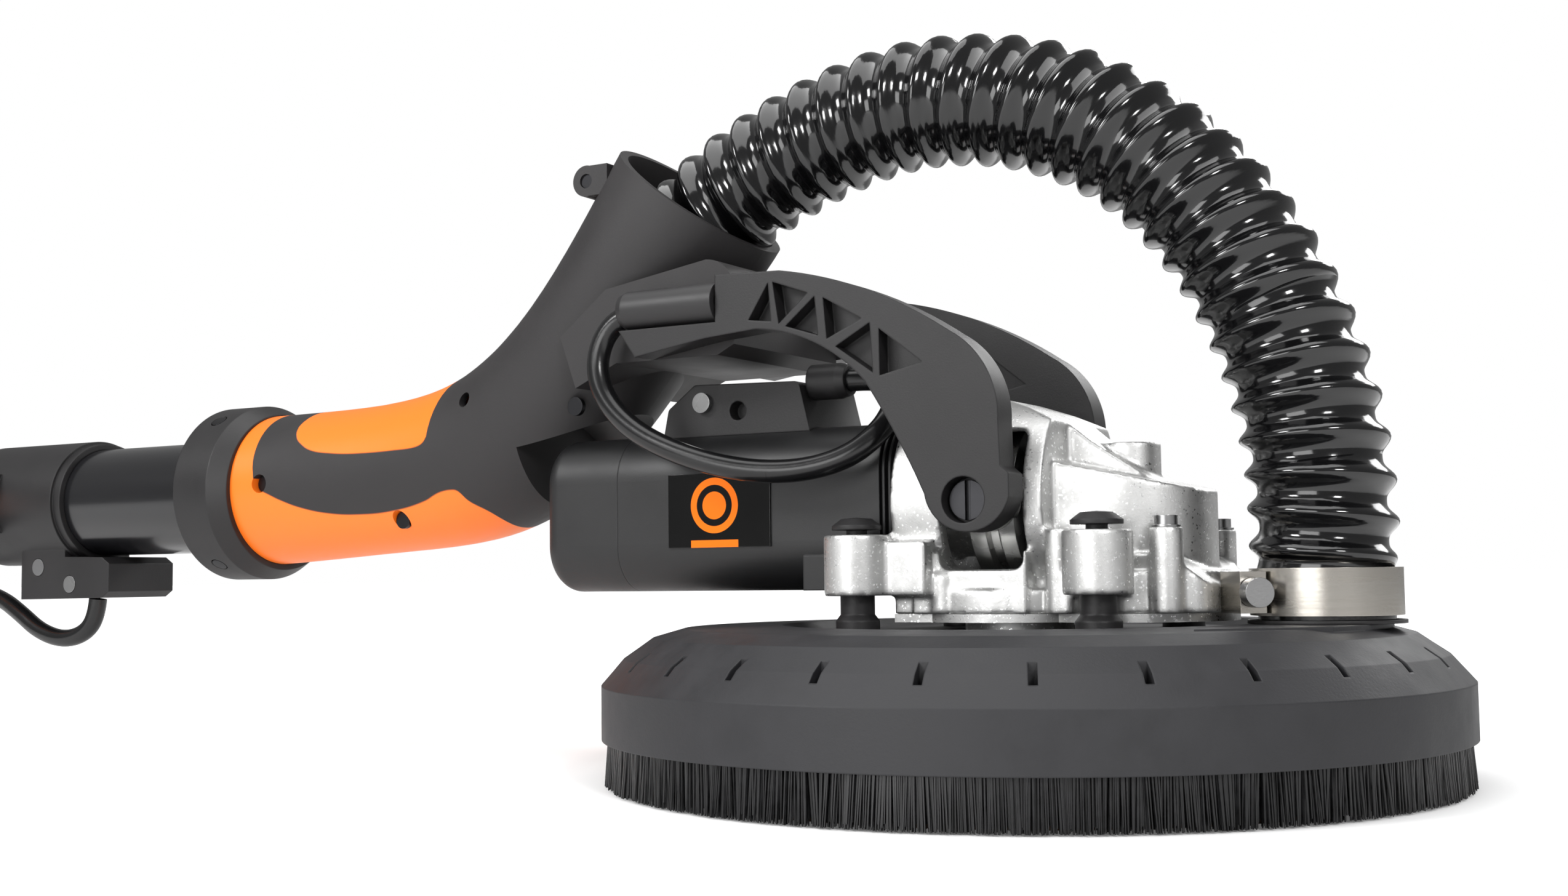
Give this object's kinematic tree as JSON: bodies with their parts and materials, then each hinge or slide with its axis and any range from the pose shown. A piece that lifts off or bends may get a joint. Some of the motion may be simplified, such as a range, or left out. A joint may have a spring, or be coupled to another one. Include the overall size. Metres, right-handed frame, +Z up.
{
  "type": "pole drywall sander",
  "caption": "Long-reach electric drywall sander: round pad in a floating brush skirt, motor in a two-way gimbal, moulded grip, telescoping pole, rear handle and a dust hose over the head.",
  "frame": {"origin": "centre of the abrasive face, on the spindle's axis and on the surface that the tool stands on", "axes": "+X forward, from the pole to the hose spout; +Y to the tool's left; +Z up along the spindle"},
  "size_m": [1.168, 0.25, 0.2251],
  "materials": {
    "abrasive": "grit",
    "black_plastic": "satin",
    "black_tube": "gloss",
    "bristle": "bristle",
    "bronze": "machined",
    "cast_aluminium": "cast",
    "copper_iron": "laminated",
    "foam": "matt",
    "hose_plastic": "gloss",
    "nylon": "satin",
    "orange_plastic": "satin",
    "rubber": "matt",
    "skirt_plastic": "satin",
    "stainless": "polished",
    "steel": "machined"
  },
  "bodies": {
    "pole": {"grip_left": "black_plastic", "grip_right": "black_plastic", "grip_screws": "steel", "fork_arm_left": "black_plastic", "fork_arm_right": "black_plastic", "pole_collar": "black_plastic", "cable_boot": "rubber", "front_tube": "black_tube", "clamp_body": "black_plastic", "clamp_fasteners": "steel", "dust_hose": "hose_plastic", "yoke_cable": "rubber", "pole_cable": "rubber", "curly_cable": "rubber"},
    "gimbal": {"gimbal_ring": "steel", "pivot_screws": "steel"},
    "head": {"gear_housing": "cast_aluminium", "base_plate": "cast_aluminium", "spindle_bearings": "steel", "head_screws": "steel", "slip_ring": "nylon", "motor_housing": "black_plastic", "motor_rear_cap": "black_plastic", "side_badge": "orange_plastic", "stator": "copper_iron", "motor_bearings": "steel", "carbon_brushes": "copper_iron", "terminal_box": "black_plastic", "motor_gland": "rubber", "skirt_springs": "steel"},
    "armature": {"armature_shaft": "steel", "armature_core": "copper_iron", "commutator": "bronze", "motor_fan": "nylon"},
    "lay": {"lay_shaft": "steel", "crown_gear": "steel"},
    "spindle": {"spindle": "steel", "spindle_gear": "steel", "backing_plate": "black_plastic", "foam_pad": "foam", "abrasive_disc": "abrasive", "pad_screw": "steel"},
    "skirt": {"skirt_shell": "skirt_plastic", "brush_strip": "nylon", "brush_bristles": "bristle", "skirt_posts": "black_plastic", "post_caps": "black_plastic", "dust_spout": "skirt_plastic", "hose_band": "stainless", "band_screw": "stainless"},
    "rear": {"rear_tube": "stainless", "handle_left": "black_plastic", "handle_right": "black_plastic", "handle_screws": "steel", "hose_outlet": "black_plastic", "mains_inlet": "rubber"},
    "lever": {"clamp_lever": "black_plastic"},
    "trigger": {"trigger": "black_plastic"},
    "lock_button": {"lock_button": "orange_plastic"},
    "speed_dial": {"speed_dial": "black_plastic"}
  },
  "joints": [
    {"name": "head_pitch", "type": "hinge", "parent": "pole", "child": "gimbal", "pos_m": [0, 0, 0.0805], "axis": [0, -1, 0], "range_deg": [-1.5, 60], "deforming": ["dust_hose", "yoke_cable"]},
    {"name": "head_roll", "type": "hinge", "parent": "gimbal", "child": "head", "pos_m": [0, 0, 0.0805], "axis": [1, 0, 0], "range_deg": [-10, 10], "deforming": ["dust_hose", "yoke_cable"]},
    {"name": "spindle_spin", "type": "hinge", "parent": "head", "child": "spindle", "pos_m": [0, 0, 0.02], "axis": [0, 0, 1], "continuous": true},
    {"name": "lay_spin", "type": "hinge", "parent": "head", "child": "lay", "pos_m": [0.034, 0, 0.06], "axis": [0, 0, 1], "continuous": true},
    {"name": "armature_spin", "type": "hinge", "parent": "head", "child": "armature", "pos_m": [-0.08, 0, 0.0805], "axis": [1, 0, 0], "continuous": true},
    {"name": "skirt_float", "type": "slide", "parent": "head", "child": "skirt", "axis": [0, 0, 1], "range_m": [-0.0015, 0.0026], "stiffness_N_per_m": 1500, "springref_m": -0.0015, "deforming": ["skirt_springs", "dust_hose"]},
    {"name": "pole_extend", "type": "slide", "parent": "pole", "child": "rear", "axis": [-1, 0, 0], "range_m": [0, 0.16], "deforming": ["pole_cable", "curly_cable"]},
    {"name": "lever_open", "type": "hinge", "parent": "pole", "child": "lever", "pos_m": [-0.442, -0.0294, 0.093], "axis": [0, 0, 1], "range_deg": [0, 100]},
    {"name": "trigger_pull", "type": "slide", "parent": "rear", "child": "trigger", "axis": [0, 0, 1], "range_m": [0, 0.004], "stiffness_N_per_m": 900, "springref_m": -0.003},
    {"name": "lock_press", "type": "slide", "parent": "rear", "child": "lock_button", "axis": [0, 1, 0], "range_m": [0, 0.002], "stiffness_N_per_m": 600, "springref_m": -0.002},
    {"name": "speed_turn", "type": "hinge", "parent": "rear", "child": "speed_dial", "pos_m": [-0.9935, 0, 0.046], "axis": [0, 1, 0], "range_deg": [-130, 130]}
  ],
  "couplings": [
    {"joint": "lay_spin", "follows": "spindle_spin", "ratio": -3.8571},
    {"joint": "armature_spin", "follows": "spindle_spin", "ratio": 13.5}
  ]
}
